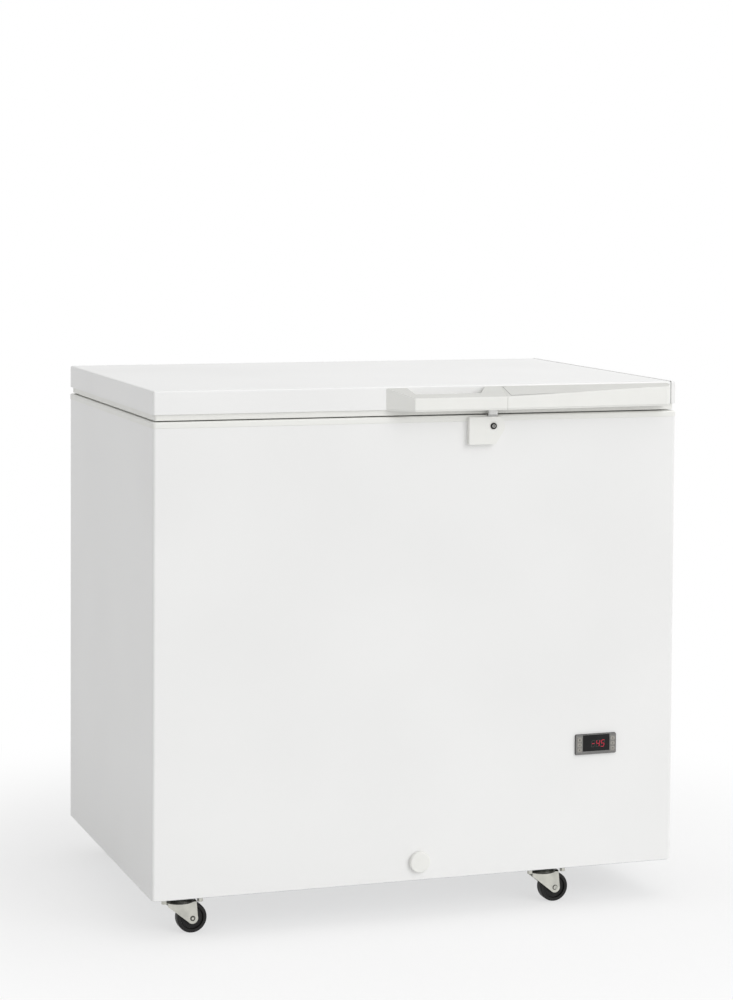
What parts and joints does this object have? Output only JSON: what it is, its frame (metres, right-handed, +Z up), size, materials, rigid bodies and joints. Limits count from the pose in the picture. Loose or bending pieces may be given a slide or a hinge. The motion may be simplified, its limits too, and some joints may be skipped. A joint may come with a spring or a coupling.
{
  "type": "medical chest freezer",
  "caption": "Low-temperature chest freezer with a hinged top lid, moulded front handle, key lock, digital controller, drain and swivel casters.",
  "frame": {"origin": "on the floor, below the centre of the cabinet, at the middle of the whole bounding box", "axes": "+X to the right along the cabinet's width, -Y towards the front with the handle, +Z up"},
  "size_m": [0.9216, 0.692, 0.894],
  "materials": {
    "painted_steel": "satin",
    "galvanised_steel": "satin",
    "foam": "matte",
    "liner_aluminium": "satin",
    "white_plastic": "satin",
    "clear_tube": "satin",
    "copper": "satin",
    "black_enamel": "satin",
    "black_plastic": "satin",
    "motor_enamel": "satin",
    "condenser_aluminium": "satin",
    "grey_plastic": "satin",
    "dark_lens": "gloss",
    "nickel": "satin",
    "zinc_plate": "satin",
    "spring_steel": "satin",
    "black_rubber": "matte",
    "gasket_rubber": "matte",
    "wheel_rubber": "satin"
  },
  "bodies": {
    "root": {"outer_wrapper": "painted_steel", "rear_panel": "painted_steel", "base_pan": "galvanised_steel", "insulation": "foam", "inner_liner": "liner_aluminium", "top_collar": "white_plastic", "evaporator_coil": "copper", "machine_bulkhead": "galvanised_steel", "machine_tray": "galvanised_steel", "compressor": "black_enamel", "relay_box": "black_plastic", "compressor_mounts": "black_rubber", "condenser": "condenser_aluminium", "fan_shroud": "black_plastic", "fan_motor": "motor_enamel", "filter_drier": "copper", "refrigerant_lines": "copper", "side_grille": "white_plastic", "rear_cover": "galvanised_steel", "cord_gland": "black_plastic", "controller_bezel": "grey_plastic", "controller_lens": "dark_lens", "controller_case": "black_plastic", "lock_housing": "white_plastic", "lock_barrel": "black_plastic", "drain_tube": "clear_tube", "temperature_probe": "nickel", "hinge_bases": "zinc_plate", "hinge_pins": "zinc_plate", "hinge_springs": "spring_steel", "cabinet_screws": "zinc_plate", "caster_plates": "zinc_plate"},
    "lid": {"hinge_leaves": "zinc_plate", "lid_skin": "painted_steel", "lid_foam": "foam", "lid_liner": "white_plastic", "lid_frame": "white_plastic", "lid_gasket": "gasket_rubber", "handle_grip": "white_plastic", "handle_fascia": "white_plastic", "latch_tongue": "nickel", "lid_screws": "zinc_plate"},
    "fan": {"fan_blade": "black_plastic"},
    "lock": {"lock_plug": "nickel"},
    "drain_cap": {"drain_cap": "white_plastic"},
    "drain_plug": {"drain_plug": "black_rubber"},
    "key_left_top": {"key_left_top": "grey_plastic"},
    "key_left_middle": {"key_left_middle": "grey_plastic"},
    "key_left_bottom": {"key_left_bottom": "grey_plastic"},
    "key_right_top": {"key_right_top": "grey_plastic"},
    "key_right_middle": {"key_right_middle": "grey_plastic"},
    "key_right_bottom": {"key_right_bottom": "grey_plastic"},
    "caster_front_left": {"caster_fork_front_left": "zinc_plate"},
    "wheel_front_left": {"wheel_front_left": "wheel_rubber"},
    "caster_front_right": {"caster_fork_front_right": "zinc_plate"},
    "wheel_front_right": {"wheel_front_right": "wheel_rubber"},
    "caster_rear_left": {"caster_fork_rear_left": "zinc_plate"},
    "wheel_rear_left": {"wheel_rear_left": "wheel_rubber"},
    "caster_rear_right": {"caster_fork_rear_right": "zinc_plate"},
    "wheel_rear_right": {"wheel_rear_right": "wheel_rubber"}
  },
  "joints": [
    {"name": "lid_hinge", "type": "hinge", "parent": "root", "child": "lid", "pos_m": [0, 0.334, 0.8485], "axis": [-1, 0, 0], "range_deg": [0, 80]},
    {"name": "fan_spin", "type": "hinge", "parent": "root", "child": "fan", "pos_m": [0.33, -0.117, 0.1625], "axis": [0, 1, 0], "continuous": true},
    {"name": "lock_turn", "type": "hinge", "parent": "root", "child": "lock", "pos_m": [0.122, -0.312, 0.8255], "axis": [0, 1, 0], "range_deg": [0, 90]},
    {"name": "drain_cap_pull", "type": "slide", "parent": "root", "child": "drain_cap", "axis": [0, -1, 0], "range_m": [0, 0.03]},
    {"name": "drain_plug_lift", "type": "slide", "parent": "root", "child": "drain_plug", "axis": [0, 0, 1], "range_m": [0, 0.06]},
    {"name": "key_left_top_press", "type": "slide", "parent": "root", "child": "key_left_top", "axis": [0, 1, 0], "range_m": [0, 0.0005], "stiffness_N_per_m": 400},
    {"name": "key_left_middle_press", "type": "slide", "parent": "root", "child": "key_left_middle", "axis": [0, 1, 0], "range_m": [0, 0.0005], "stiffness_N_per_m": 400},
    {"name": "key_left_bottom_press", "type": "slide", "parent": "root", "child": "key_left_bottom", "axis": [0, 1, 0], "range_m": [0, 0.0005], "stiffness_N_per_m": 400},
    {"name": "key_right_top_press", "type": "slide", "parent": "root", "child": "key_right_top", "axis": [0, 1, 0], "range_m": [0, 0.0005], "stiffness_N_per_m": 400},
    {"name": "key_right_middle_press", "type": "slide", "parent": "root", "child": "key_right_middle", "axis": [0, 1, 0], "range_m": [0, 0.0005], "stiffness_N_per_m": 400},
    {"name": "key_right_bottom_press", "type": "slide", "parent": "root", "child": "key_right_bottom", "axis": [0, 1, 0], "range_m": [0, 0.0005], "stiffness_N_per_m": 400},
    {"name": "swivel_front_left", "type": "hinge", "parent": "root", "child": "caster_front_left", "pos_m": [-0.404, -0.269, 0.065], "axis": [0, 0, 1], "continuous": true},
    {"name": "roll_front_left", "type": "hinge", "parent": "caster_front_left", "child": "wheel_front_left", "pos_m": [-0.384, -0.269, 0.025], "axis": [0, 1, 0], "continuous": true},
    {"name": "swivel_front_right", "type": "hinge", "parent": "root", "child": "caster_front_right", "pos_m": [0.237, -0.269, 0.065], "axis": [0, 0, 1], "continuous": true},
    {"name": "roll_front_right", "type": "hinge", "parent": "caster_front_right", "child": "wheel_front_right", "pos_m": [0.257, -0.269, 0.025], "axis": [0, 1, 0], "continuous": true},
    {"name": "swivel_rear_left", "type": "hinge", "parent": "root", "child": "caster_rear_left", "pos_m": [-0.404, 0.269, 0.065], "axis": [0, 0, 1], "continuous": true},
    {"name": "roll_rear_left", "type": "hinge", "parent": "caster_rear_left", "child": "wheel_rear_left", "pos_m": [-0.384, 0.269, 0.025], "axis": [0, 1, 0], "continuous": true},
    {"name": "swivel_rear_right", "type": "hinge", "parent": "root", "child": "caster_rear_right", "pos_m": [0.237, 0.269, 0.065], "axis": [0, 0, 1], "continuous": true},
    {"name": "roll_rear_right", "type": "hinge", "parent": "caster_rear_right", "child": "wheel_rear_right", "pos_m": [0.257, 0.269, 0.025], "axis": [0, 1, 0], "continuous": true}
  ]
}
